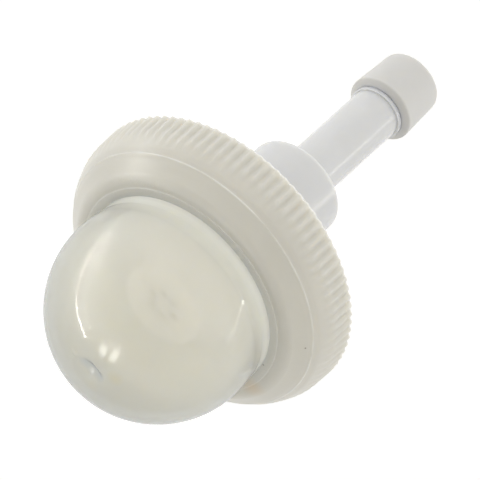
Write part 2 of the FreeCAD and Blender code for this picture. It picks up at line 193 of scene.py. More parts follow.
class BulbSizes(bpy.types.PropertyGroup):
    radius: length("Radius", "Radius of the dome", 16.095)
    middle_rise: length("Middle rise", "Height of the widest circle above the neck", 5.0)
    wall: length("Wall", "Thickness of the wall", 1.6)
    neck_radius: length("Neck radius", "Radius of the neck in the collar's opening", 15.3)
    neck_top: length("Neck top", "Height at which the neck becomes the dome", 10.4)
    flange_radius: length("Flange radius", "Radius of the clamped flange", 18.2)
    flange_foot: length("Flange foot", "Height of the flange's lower face", 6.0)
    flange_top: length("Flange top", "Height of the flange's upper face", 7.4)
    neck_root: length("Neck root", "Fillet between the neck and the flange", 1.0)
    swell_radius: length("Swell radius", "Radius of the neck's swelling in the opening", 15.69)
    swell_foot: length("Swell foot", "Height at which the swelling starts", 8.9)
    mark_radius: length("Mark radius", "Radius of the sunken mark at the pole", 3.3)
    mark_depth: length("Mark depth", "Depth of the sunken mark below the dome's top", 0.8)


class CollarSizes(bpy.types.PropertyGroup):
    teeth: IntProperty(name="Teeth", description="Number of teeth round the rear half", default=92)
    tip_radius: length("Tip radius", "Radius over the teeth at their rear ends", 23.0)
    tip_draft: length("Tip draft", "How much lower the teeth are at their front ends", 0.15)
    root_radius: length("Root radius", "Radius behind the teeth", 22.58)
    gap_depth: length("Gap depth", "Depth of a rounded gap at the rear", 0.36)
    rear_of_teeth: length("Rear of teeth", "Height of the teeth's rear ends", 0.4)
    front_of_teeth: length("Front of teeth", "Height at which the teeth start to run out", 4.2)
    front_edge_radius: length("Front edge radius", "Radius at which the run-out ends", 22.5)
    front_edge: length("Front edge", "Height at which the run-out ends", 5.15)
    shoulder_radius: length("Shoulder radius", "Radius half way up the smooth shoulder", 21.9)
    shoulder: length("Shoulder", "Height half way up the smooth shoulder", 6.5)
    seam_radius: length("Seam radius", "Radius of the fine moulding seam", 21.19)
    seam: length("Seam", "Height of the fine moulding seam", 7.35)
    seam_height: length("Seam height", "How far the seam stands out", 0.085)
    rim_radius: length("Rim radius", "Radius where the shoulder turns into the face", 20.7)
    rim: length("Rim", "Height where the shoulder turns into the face", 7.95)
    ring_radius: length("Ring radius", "Outer radius of the flat ring round the lip", 18.0)
    ring: length("Ring", "Height of the flat ring", 9.75)
    lip_radius: length("Lip radius", "Outer radius of the raised lip", 17.0)
    lip: length("Lip", "Height of the raised lip", 10.2)
    mouth_radius: length("Mouth radius", "Radius of the opening", 15.7)
    clamp: length("Clamp", "Height of the inner shoulder", 8.0)
    relief_radius: length("Relief radius", "Radius of the hollow above the thread", 19.0)
    relief: length("Relief", "Height at which the hollow starts", 4.4)
    thread_radius: length("Thread radius", "Radius of the thread's crests", 18.6)
    thread_lead: length("Thread lead", "Chamfer that leads into the thread", 0.8)
    thread_depth: length("Thread depth", "Depth of the thread", 0.55)
    thread_pitch: length("Thread pitch", "Rise of the thread in one turn", 1.5)
    rear_chamfer: length("Rear chamfer", "Chamfer on the rear edge", 0.25)


class SpringSizes(bpy.types.PropertyGroup):
    radius: length("Radius", "Mean radius of the coil", 2.45)
    wire_radius: length("Wire radius", "Radius of the wire", 0.22)
    turns: IntProperty(name="Turns", description="Number of turns", default=6)
    travel: length("Travel", "How far the ball squeezes it", 1.5)


class PumpFinishes(bpy.types.PropertyGroup):
    collar: colour("Collar", "Colour of the collar", (0.71, 0.695, 0.637))
    bulb: colour("Bulb", "Colour of the bulb", (0.92, 0.885, 0.77))
    # The neck's colour is lighter than the bulb's: painted light in the shade of the collar's lip.
    neck_painted_lighter: colour("Neck", "Colour of the bulb's thicker neck", (0.99, 0.95, 0.84))
    body: colour("Body", "Colour of the hub and the stem", (0.715, 0.72, 0.725))
    seal: colour("Seal", "Colour of the tip seal", (0.68, 0.675, 0.66))
    inner: colour("Inner parts", "Colour of the moulded parts inside", (0.80, 0.78, 0.72))
    rubber: colour("Rubber", "Colour of the flap and the gasket", (0.035, 0.035, 0.037))
    steel: colour("Steel", "Colour of the spring and the ball", (0.60, 0.60, 0.61))


class StudioSettings(bpy.types.PropertyGroup):
    elevation: angle("Elevation", "Height of the camera above the horizon", 36.95)
    roll: angle("Roll", "Turn of the camera about its line of sight", -132.19)
    distance: length("Distance", "Distance from the camera to the collar", 800.0)
    lens: number("Lens", "Focal length in millimetres", 421.4)
    floor_drop: length("Floor drop", "Depth of the floor below the pump's tip", 60.0)
    window_power: number("Window power", "Watts of the window light", 1.15)
    horizon_level: number("Horizon", "Light from the sides", 0.84)
    ceiling_level: number("Ceiling", "Light from above", 0.60)
    floor_glow: number("Floor glow", "Light of the floor itself", 0.41)


def sizes():
    """Sizes of the bulb and of the collar."""
    return bpy.context.scene.primer_pump_bulb, bpy.context.scene.primer_pump_collar


def finishes():
    return bpy.context.scene.primer_pump_finishes


# ---- meshes


def wire(bm, corners):
    """Open or closed chain of (radius, height) corners in the XZ plane."""
    verts = [bm.verts.new((r, 0.0, z)) for r, z in corners]
    for a, b in zip(verts, verts[1:]):
        bm.edges.new((a, b))
    return verts


def close_wire(bm, verts):
    """Join the two ends of a wire."""
    bm.edges.new((verts[-1], verts[0]))


def soften(bm, verts, offset, segments=3):
    """Round off corners of a wire."""
    bmesh.ops.bevel(
        bm,
        geom=verts,
        offset=offset,
        offset_type="OFFSET",
        segments=segments,
        profile=0.5,
        affect="VERTICES",
        material=-1,
    )


def spin_full(bm, steps):
    """Turn a wire once round the axis into a closed skin."""
    geometry = bm.verts[:] + bm.edges[:]
    bmesh.ops.spin(
        bm,
        geom=geometry,
        cent=(0, 0, 0),
        axis=(0, 0, 1),
        angle=math.tau,
        steps=steps,
        use_merge=True,
    )
    bmesh.ops.remove_doubles(bm, verts=bm.verts[:], dist=0.001 * MM)
    bmesh.ops.recalc_face_normals(bm, faces=bm.faces[:])


def finish_mesh(bm, name, material, sharp_degrees=50):
    """Object at the origin made from a bmesh, smooth but for its sharp edges."""
    for face in bm.faces:
        face.smooth = True
    mesh = bpy.data.meshes.new(name)
    bm.to_mesh(mesh)
    bm.free()
    mesh.set_sharp_from_angle(angle=math.radians(sharp_degrees))
    mesh.materials.append(material)
    obj = bpy.data.objects.new(name, mesh)
    bpy.context.scene.collection.objects.link(obj)
    return obj


# ---- materials


class Shading:
    """A material with a Principled shader and short ways to add the nodes used here."""

    def __init__(self, name):
        self.material = bpy.data.materials.new(name)
        self.material.use_nodes = True
        self.nodes = self.material.node_tree.nodes
        self.links = self.material.node_tree.links
        self.nodes.clear()
        self.output = self.nodes.new("ShaderNodeOutputMaterial")
        self.shader = self.nodes.new("ShaderNodeBsdfPrincipled")
        self.links.new(self.shader.outputs["BSDF"], self.output.inputs["Surface"])
        self.place = self.nodes.new("ShaderNodeTexCoord").outputs["Object"]

    def link(self, source, target):
        self.links.new(source, target)

    def noise(self, scale, detail=3.0, roughness=0.5):
        node = self.nodes.new("ShaderNodeTexNoise")
        node.inputs["Scale"].default_value = scale
        node.inputs["Detail"].default_value = detail
        node.inputs["Roughness"].default_value = roughness
        self.link(self.place, node.inputs["Vector"])
        return node.outputs["Fac"]

    def ramp(self, factor, stops):
        node = self.nodes.new("ShaderNodeValToRGB")
        ends = node.color_ramp.elements
        while len(ends) < len(stops):
            ends.new(0.5)
        for end, (position, tint) in zip(ends, stops):
            end.position = position
            end.color = (*tint, 1.0)
        self.link(factor, node.inputs["Fac"])
        return node.outputs["Color"]

    def bump(self, height, distance, strength=1.0):
        node = self.nodes.new("ShaderNodeBump")
        node.inputs["Distance"].default_value = distance
        node.inputs["Strength"].default_value = strength
        self.link(height, node.inputs["Height"])
        self.link(node.outputs["Normal"], self.shader.inputs["Normal"])

    def spread(self, factor, low, high):
        """A factor between 0 and 1 turned into a value between two others."""
        node = self.nodes.new("ShaderNodeMapRange")
        node.inputs["To Min"].default_value = low
        node.inputs["To Max"].default_value = high
        self.link(factor, node.inputs["Value"])
        return node.outputs["Result"]

    def blend(self, factor, first, second):
        """Mix of two colours, each a socket or a plain colour."""
        node = self.nodes.new("ShaderNodeMix")
        node.data_type = "RGBA"
        self.link(factor, node.inputs["Factor"])
        for source, target in ((first, node.inputs[6]), (second, node.inputs[7])):
            if isinstance(source, bpy.types.NodeSocket):
                self.link(source, target)
            else:
                target.default_value = (*source, 1.0)
        return node.outputs[2]

    def both(self, first, second):
        """Product of two factors."""
        node = self.nodes.new("ShaderNodeMath")
        node.operation = "MULTIPLY"
        self.link(first, node.inputs[0])
        self.link(second, node.inputs[1])
        return node.outputs["Value"]

    def below(self, low, high):
        """One under the lower height, nought over the upper one."""
        parts = self.nodes.new("ShaderNodeSeparateXYZ")
        self.link(self.place, parts.inputs["Vector"])
        node = self.nodes.new("ShaderNodeMapRange")
        node.inputs["From Min"].default_value = high
        node.inputs["From Max"].default_value = low
        self.link(parts.outputs["Z"], node.inputs["Value"])
        return node.outputs["Result"]

    def spot(self, centre, radius):
        """One inside a small ball round a point, nought outside."""
        node = self.nodes.new("ShaderNodeVectorMath")
        node.operation = "DISTANCE"
        self.link(self.place, node.inputs[0])
        node.inputs[1].default_value = centre
        near = self.nodes.new("ShaderNodeMapRange")
        near.inputs["From Min"].default_value = radius
        near.inputs["From Max"].default_value = radius * (1.0 - SPOT_SOFTNESS)
        self.link(node.outputs["Value"], near.inputs["Value"])
        return near.outputs["Result"]

    def paint_spots(self, surface, spots):
        """A colour with soft-edged spots over it."""
        for centre, radius, tint in spots:
            near = self.spot(tuple(c * MM for c in centre), radius * MM)
            surface = self.blend(near, surface, tint)
        return surface

    def let_light_in(self, reach):
        """Light goes under the skin, about as far as a reach in millimetres."""
        self.shader.inputs["Subsurface Weight"].default_value = 1.0
        self.shader.inputs["Subsurface Radius"].default_value = (1.0, 0.95, 0.8)
        self.shader.inputs["Subsurface Scale"].default_value = reach * MM

    def see_through(self, seen, lit, tint=None):
        """Part of what is behind shows through, and a larger part of the light gets in."""
        path = self.nodes.new("ShaderNodeLightPath")
        light = self.nodes.new("ShaderNodeMath")
        light.operation = "MAXIMUM"
        self.link(path.outputs["Is Shadow Ray"], light.inputs[0])
        self.link(path.outputs["Is Diffuse Ray"], light.inputs[1])
        amount = self.nodes.new("ShaderNodeMix")
        self.link(light.outputs["Value"], amount.inputs["Factor"])
        if isinstance(seen, bpy.types.NodeSocket):
            self.link(seen, amount.inputs["A"])
        else:
            amount.inputs["A"].default_value = seen
        amount.inputs["B"].default_value = lit
        clear = self.nodes.new("ShaderNodeBsdfTransparent")
        if tint:
            self.link(tint, clear.inputs["Color"])
        mix = self.nodes.new("ShaderNodeMixShader")
        self.link(amount.outputs["Result"], mix.inputs["Fac"])
        self.link(self.shader.outputs["BSDF"], mix.inputs[1])
        self.link(clear.outputs["BSDF"], mix.inputs[2])
        self.link(mix.outputs["Shader"], self.output.inputs["Surface"])


def shade(tint, share_of_tint):
    """Darker form of a colour."""
    return tuple(c * share_of_tint for c in tint)


def plastic(name, tint, roughness, reach, lit=0.0):
    """Milky moulded plastic: slightly uneven colour, light that goes under its skin."""
    m = Shading(name)
    blotches = m.noise(180.0, 4.0, 0.55)
    surface = m.ramp(blotches, [(0.3, shade(tint, 0.965)), (0.7, tint)])
    m.link(surface, m.shader.inputs["Base Color"])
    m.let_light_in(reach)
    skin = m.noise(700.0, 4.0, 0.6)
    m.link(m.spread(skin, roughness - 0.07, roughness + 0.07), m.shader.inputs["Roughness"])
    m.bump(skin, 0.02 * MM, 0.6)
    if lit:
        m.see_through(0.0, lit)
    return m.material


def collar_plastic(tint):
    """Milky plastic with a satin skin, painted shade over the toothed band, a broken painted
    highlight along the seam, and a little dirt.
    """
    m = Shading("satin_collar_plastic")
    surface = m.ramp(m.noise(90.0, 5.0, 0.6), [(0.3, shade(tint, 0.95)), (0.7, tint)])
    # The toothed band is painted darker than the shoulder: painted shade.
    surface = m.blend(m.below(3.4 * MM, 5.6 * MM), surface, shade(tint, 0.925))
    # A broken near-white band along the seam is a painted highlight.
    seam = sizes()[1].seam
    over_foot = m.spread(m.below(seam - 0.10 * MM, seam - 0.02 * MM), 1.0, 0.0)
    under_top = m.below(seam + 0.06 * MM, seam + 0.14 * MM)
    seam_highlight_patches = m.ramp(m.noise(130.0, 2.0), [(0.42, (0, 0, 0)), (0.58, (1, 1, 1))])
    broken_seam_highlight = m.spread(seam_highlight_patches, 0.1, 0.6)
    surface = m.blend(m.both(m.both(over_foot, under_top), broken_seam_highlight), surface, (0.95, 0.95, 0.93))
    surface = m.paint_spots(surface, COLLAR_DIRT)
    m.link(surface, m.shader.inputs["Base Color"])
    m.let_light_in(3.0)
    grain = m.noise(500.0, 4.0, 0.6)
    m.link(m.spread(grain, 0.26, 0.40), m.shader.inputs["Roughness"])
    m.bump(grain, 0.03 * MM, 0.6)
    m.see_through(0.0, 0.8)
    return m.material


def bulb_plastic(tint):
    """Glossy, milky and see-through plastic, duller and bluer where it is seen edge on."""
    m = Shading("milky_bulb_plastic")
    blotches = m.ramp(m.noise(120.0, 4.0, 0.5), [(0.3, shade(tint, 0.97)), (0.7, tint)])
    # The neck is painted lighter than the dome: painted light where the collar's lip shades it.
    neck_painted_lighter = m.below(11.0 * MM, 14.0 * MM)
    # Stains on the mark, and painted shade along its groove.
    blotches = m.paint_spots(blotches, BULB_STAINS_AND_GROOVE_SHADE)
    m.link(m.blend(neck_painted_lighter, blotches, finishes().neck_painted_lighter), m.shader.inputs["Base Color"])
    m.shader.inputs["IOR"].default_value = 1.47
    m.let_light_in(2.5)
    skin = m.noise(250.0, 3.0)
    m.link(m.spread(skin, 0.34, 0.44), m.shader.inputs["Roughness"])
    m.bump(skin, 0.004 * MM, 0.5)
    m.shader.inputs["Transmission Weight"].default_value = 0.20
    m.shader.inputs["Specular IOR Level"].default_value = 0.12
    m.shader.inputs["Coat Weight"].default_value = 1.0
    m.shader.inputs["Coat Roughness"].default_value = 0.08
    m.shader.inputs["Coat IOR"].default_value = 1.6
    edge = m.nodes.new("ShaderNodeLayerWeight")
    edge.inputs["Blend"].default_value = 0.35
    clear = m.both(m.spread(edge.outputs["Facing"], 0.46, 0.36), m.spread(neck_painted_lighter, 1.0, 0.0))
    smoky = m.ramp(edge.outputs["Facing"], [(0.1, (1.0, 1.0, 1.0)), (0.9, (0.34, 0.40, 0.44))])
    m.see_through(clear, 0.90, smoky)
    return m.material


def rubber(name, tint, roughness=0.7):
    m = Shading(name)
    m.link(
        m.ramp(m.noise(300.0, 4.0), [(0.3, shade(tint, 0.9)), (0.7, tint)]),
        m.shader.inputs["Base Color"],
    )
    grain = m.noise(1500.0, 3.0)
    m.link(m.spread(grain, roughness - 0.08, roughness + 0.08), m.shader.inputs["Roughness"])
    m.bump(grain, 0.01 * MM, 0.6)
    return m.material


def steel(name, tint, roughness):
    m = Shading(name)
    m.link(
        m.ramp(m.noise(400.0, 3.0), [(0.3, shade(tint, 0.9)), (0.7, tint)]),
        m.shader.inputs["Base Color"],
    )
    m.shader.inputs["Metallic"].default_value = 1.0
    scratches = m.noise(2500.0, 3.0, 0.6)
    m.link(m.spread(scratches, roughness * 0.8, roughness * 1.3), m.shader.inputs["Roughness"])
    m.bump(scratches, 0.004 * MM, 0.5)
    return m.material


# ---- pieces


def paint_node(node, material):
    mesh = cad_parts[node].data
    mesh.materials.clear()
    mesh.materials.append(material)


class PRIMERPUMP_OT_collar(bpy.types.Operator):
    """Make the toothed collar with its inner thread"""

    bl_idname = "primerpump.collar"
    bl_label = "Make collar"

    columns = 8  # mesh columns in one tooth and its gap

    def execute(self, context):
        c = sizes()[1]
        bm = bmesh.new()
        self.section(bm, c)
        pitch = math.tau / c.teeth
        bmesh.ops.spin(
            bm,
            geom=bm.verts[:] + bm.edges[:],
            cent=(0, 0, 0),
            axis=(0, 0, 1),
            angle=pitch,
            steps=self.columns,
        )
        self.sink_gap(bm, c, pitch)
        bmesh.ops.spin(
            bm,
            geom=bm.verts[:] + bm.edges[:] + bm.faces[:],
            cent=(0, 0, 0),
            axis=(0, 0, 1),
            angle=math.tau - pitch,
            steps=c.teeth - 1,
            use_duplicate=True,
        )
        bmesh.ops.remove_doubles(bm, verts=bm.verts[:], dist=0.002 * MM)
        self.cut_thread(bm, c)
        bmesh.ops.recalc_face_normals(bm, faces=bm.faces[:])
        tint = finishes().collar
        obj = finish_mesh(bm, "toothed_collar", collar_plastic(tint), 40)
        even = obj.modifiers.new("even_faces", "WEIGHTED_NORMAL")
        even.keep_sharp = True
        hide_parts("collar")
        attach(obj, "ring_nut")
        return {"FINISHED"}

    def section(self, bm, c):
        """Closed half section of the collar with its corners rounded."""
        square_to_shoulder = Vector((0.771, 0.638))
        outward = square_to_shoulder * c.seam_height
        seam = Vector((c.seam_radius, c.seam))
        corners = [
            (c.thread_radius + c.thread_lead, 0.0),
            (c.root_radius - c.rear_chamfer, 0.0),
            (c.root_radius, c.rear_chamfer),
            (c.root_radius, c.rear_of_teeth),
            (c.tip_radius, c.rear_of_teeth),
            (c.tip_radius - c.tip_draft, c.front_of_teeth),
            (c.front_edge_radius, c.front_edge),
            (c.shoulder_radius, c.shoulder),
            (c.seam_radius + 0.07 * MM, c.seam - 0.085 * MM),
            tuple(seam + outward),
            (c.seam_radius - 0.07 * MM, c.seam + 0.085 * MM),
            (c.rim_radius, c.rim),
            (c.ring_radius + 1.1 * MM, c.rim + 0.745 * (c.ring - c.rim)),
            (c.ring_radius + 1.04 * MM, c.rim + 0.785 * (c.ring - c.rim)),
            (c.ring_radius, c.ring + 0.20 * MM),
            (c.lip_radius, c.ring + 0.28 * MM),
            (c.lip_radius, c.lip),
            (c.mouth_radius, c.lip),
            (c.mouth_radius, c.clamp),
            (c.relief_radius, c.clamp),
            (c.relief_radius, c.relief),
        ]
        ring_corner = corners.index((c.ring_radius, c.ring + 0.20 * MM))
        thread_steps = 16
        top = c.relief - (c.relief_radius - c.thread_radius)
        for i in range(thread_steps + 1):
            height = top + (c.thread_lead - top) * i / thread_steps
            corners.append((c.thread_radius, height))
        verts = wire(bm, corners)
        close_wire(bm, verts)
        soften(bm, [verts[5], verts[6], verts[7]], 0.34 * MM, 4)
        soften(bm, [verts[11]], 0.3 * MM, 3)
        soften(bm, [verts[ring_corner]], 0.6 * MM, 4)
        soften(bm, [verts[ring_corner + 1]], 0.3 * MM, 4)
        soften(bm, [verts[ring_corner + 2]], 0.3 * MM, 4)
        soften(bm, [verts[ring_corner + 3]], 0.03 * MM, 2)
        soften(bm, [verts[ring_corner + 4]], 0.1 * MM, 2)
        soften(bm, [verts[0]], 0.08 * MM, 2)

    def sink_gap(self, bm, c, pitch):
        """Sink a rounded gap between two teeth, running out on the shoulder."""
        run_out = c.shoulder - c.front_of_teeth
        for vert in bm.verts:
            radius = math.hypot(vert.co.x, vert.co.y)
            if radius < c.shoulder_radius - 0.05 * MM or vert.co.z < c.rear_of_teeth - 0.001 * MM:
                continue
            forward = max(0.0, vert.co.z - c.front_of_teeth) / run_out
            if forward >= 1.0:
                continue
            part = math.atan2(vert.co.y, vert.co.x) / pitch
            depth = c.gap_depth * (1.0 - 0.35 * vert.co.z / c.front_of_teeth)
            if forward > 0.0:
                depth = c.gap_depth * 0.65 * (1.0 - forward) ** 1.5
            vert.co.xy *= 1.0 - depth * math.sin(math.pi * part) ** 2 / radius

    def cut_thread(self, bm, c):
        """Press a helical groove into the bore."""
        top = c.relief - (c.relief_radius - c.thread_radius)
        fade = 0.3 * MM
        for vert in bm.verts:
            radius = math.hypot(vert.co.x, vert.co.y)
            if abs(radius - c.thread_radius) > 0.01 * MM:
                continue
            inside = min(vert.co.z - c.thread_lead, top - vert.co.z)
            if inside <= 0:
                continue
            turn = math.atan2(vert.co.y, vert.co.x) / math.tau
            wave = abs(((vert.co.z / c.thread_pitch - turn) % 1.0) * 2.0 - 1.0)
            depth = c.thread_depth * min(1.0, max(0.0, (0.85 - wave) / 0.7))
            vert.co.xy *= 1.0 + depth * min(1.0, inside / fade) / radius


class PRIMERPUMP_OT_bulb(bpy.types.Operator):
    """Make the hollow squeeze bulb"""

    bl_idname = "primerpump.bulb"
    bl_label = "Make bulb"

    def execute(self, context):
        b = sizes()[0]
        bm = bmesh.new()
        middle = b.neck_top + b.middle_rise
        inside = b.radius - b.wall
        swell_top = middle - math.sqrt(b.radius ** 2 - b.swell_radius ** 2)
        outer = self.arc(bm, b.radius, middle, swell_top, 190)
        inner = self.arc(bm, inside, middle, b.neck_top, 36)
        neck_bore = inner[0].co.x
        lower = wire(bm, [
            (neck_bore, b.flange_foot),
            (b.flange_radius, b.flange_foot),
            (b.flange_radius, b.flange_top),
            (b.neck_radius, b.flange_top),
            (b.neck_radius, b.swell_foot - 0.4 * MM),
            (b.swell_radius, b.swell_foot),
        ])
        bm.edges.new((lower[-1], outer[0]))
        bm.edges.new((lower[0], inner[0]))
        soften(bm, [outer[0]], 0.9 * MM, 6)
        soften(bm, [lower[3]], b.neck_root, 5)
        soften(bm, [lower[1], lower[2]], 0.15 * MM, 2)
        spin_full(bm, 144)
        self.press_mark(bm, b, middle)
        obj = finish_mesh(bm, "squeeze_dome", bulb_plastic(finishes().bulb), 30)
        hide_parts("bulb")
        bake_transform(obj)
        return {"FINISHED"}

    def arc(self, bm, radius, middle, foot, steps):
        """Arc of a ball about the axis, from a height up to the pole."""
        below = middle - foot
        start = bm.verts.new((math.sqrt(radius * radius - below * below), 0.0, foot))
        sweep = math.pi / 2 + math.asin(below / radius)
        bmesh.ops.spin(
            bm,
            geom=[start],
            cent=(0, 0, middle),
            axis=(0, -1, 0),
            angle=sweep,
            steps=steps,
        )
        centre = Vector((0, 0, middle))
        chain = [v for v in bm.verts if abs((v.co - centre).length - radius) < 1e-7]
        chain.sort(key=lambda v: math.atan2(v.co.z - middle, v.co.x))
        chain[-1].co.x = 0.0
        return chain

    def press_mark(self, bm, b, middle):
        """Press the dished mark into the dome's top, with the mould's pinched seam across it."""
        for vert in bm.verts:
            flat = vert.co.xy
            on_outside = abs((vert.co - Vector((0, 0, middle))).length - b.radius) < 0.01 * MM
            if not on_outside or vert.co.z < middle or flat.length > 5.2 * MM:
                continue
            part = min(1.0, flat.length / b.mark_radius)
            height = vert.co.z - b.mark_depth * (1 - part * part) ** 2
            for place, half_length, half_width, rise in MARK_SWELLINGS:
                offset = flat - Vector(place) * MM
                height += self.swelling(offset, half_length * MM, half_width * MM, rise * MM)
            vert.co.z = height

    def swelling(self, offset, half_length, half_width, height):
        """Height of a long low swelling that lies along X."""
        along = min(1.0, abs(offset.x) / half_length)
        return height * (1 - along * along) ** 2 * math.exp(-((offset.y / half_width) ** 2))


class PRIMERPUMP_OT_body(bpy.types.Operator):
    """Finish the moulded pump body"""

    bl_idname = "primerpump.body"
    bl_label = "Finish pump body"

    def execute(self, context):
        paint_node("pump_body", plastic("body_plastic", finishes().body, 0.22, 1.6))
        return {"FINISHED"}


class PRIMERPUMP_OT_seal(bpy.types.Operator):
    """Finish the tip seal"""

    bl_idname = "primerpump.seal"
    bl_label = "Finish tip seal"

    def execute(self, context):
        paint_node("tip_seal", plastic("seal_rubber", finishes().seal, 0.55, 1.0))
        return {"FINISHED"}


class PRIMERPUMP_OT_spring(bpy.types.Operator):
    """Make the inlet spring, which is squeezed when its ball lifts"""

    bl_idname = "primerpump.spring"
    bl_label = "Make inlet spring"

    steps_in_turn = 28

    def execute(self, context):
        wound = context.scene.primer_pump_spring
        low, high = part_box("inlet_spring")
        foot = low.z + wound.wire_radius
        rise = high.z - low.z - 2 * wound.wire_radius
        steps = wound.turns * self.steps_in_turn
        bm = bmesh.new()
        upright = Matrix.Rotation(math.pi / 2, 4, "X")
        bmesh.ops.create_circle(
            bm,
            cap_ends=True,
            segments=10,
            radius=wound.wire_radius,
            matrix=Matrix.Translation((wound.radius, 0, foot)) @ upright,
        )
        bmesh.ops.spin(
            bm,
            geom=bm.verts[:] + bm.edges[:] + bm.faces[:],
            cent=(0, 0, 0),
            axis=(0, 0, 1),
            dvec=(0, 0, rise / steps),
            angle=math.tau * wound.turns,
            steps=steps,
        )
        bmesh.ops.remove_doubles(bm, verts=bm.verts[:], dist=0.001 * MM)
        bmesh.ops.recalc_face_normals(bm, faces=bm.faces[:])
        wire = steel("spring_wire_steel", finishes().steel, 0.32)
        obj = finish_mesh(bm, "coil_spring", wire, 50)
        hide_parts("inlet_spring")
        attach(obj, "pump")
        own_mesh(obj)
        return {"FINISHED"}


class PRIMERPUMP_OT_inner_parts(bpy.types.Operator):
    """Finish the valves, washers and gasket"""

    bl_idname = "primerpump.inner_parts"
    bl_label = "Finish inner parts"

    def execute(self, context):
        tints = finishes()
        moulded = plastic("inner_plastic", tints.inner, 0.4, 3.0, 0.7)
        for node in ("valve_cage", "slip_washer", "flap_retainer"):
            paint_node(node, moulded)
        dark = rubber("dark_rubber", tints.rubber)
        for node in ("outlet_flap", "head_gasket"):
            paint_node(node, dark)
        paint_node("inlet_ball", steel("ground_ball_steel", tints.steel, 0.14))
        return {"FINISHED"}


# ---- studio


def camera_axes(studio):
    """Right, up and backward directions of the camera."""
    level_right = Vector((1, 0, 0))
    back = Vector((0, -math.cos(studio.elevation), math.sin(studio.elevation)))
    level_up = back.cross(level_right)
    right = level_right * math.cos(studio.roll) + level_up * math.sin(studio.roll)
    return right, back.cross(right), back


def pixel_size(studio):
    """Width of a pixel at the collar."""
    return studio.distance * SENSOR_WIDTH / studio.lens / IMAGE_SIZE


def camera_place(studio):
    """Place from which the collar's rear ring shows where it does in the photograph."""
    right, up, back = camera_axes(studio)
    place = Vector((0, 0, sizes()[1].rear_of_teeth)) + back * studio.distance
    place -= right * (PHOTO_RING_X - IMAGE_SIZE / 2) * pixel_size(studio)
    place -= up * (IMAGE_SIZE / 2 - PHOTO_RING_Y) * pixel_size(studio)
    return place


